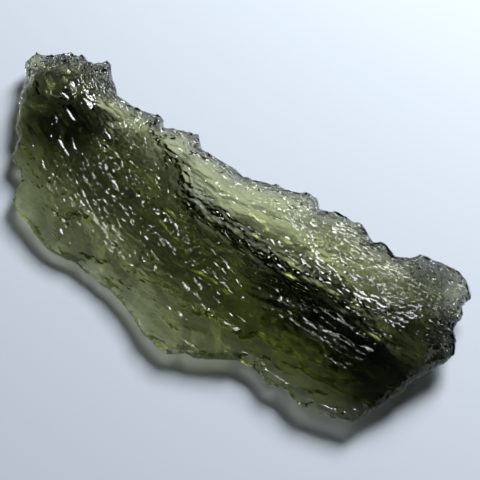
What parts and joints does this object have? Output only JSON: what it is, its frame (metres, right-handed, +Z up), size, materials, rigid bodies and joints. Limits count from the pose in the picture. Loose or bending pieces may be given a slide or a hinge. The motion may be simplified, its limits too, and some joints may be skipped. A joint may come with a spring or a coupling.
{
  "type": "moldavite",
  "caption": "Rugged shard of clear bottle-green natural glass with an etched, rippled skin, a long crest and a raised wing beyond it; a loose specimen that lies on its flatter side.",
  "frame": {"origin": "middle of the bounding box at the height of the resting plane", "axes": "+X along the shard from its pointed end to its blunt end, +Y across it from the thin near edge to the far edge, +Z up"},
  "size_m": [0.045, 0.0186, 0.0054],
  "materials": {
    "glass": "clear bottle-green glass, finely etched and glossy"
  },
  "bodies": {
    "root": {"moldavite": "glass"}
  },
  "joints": []
}
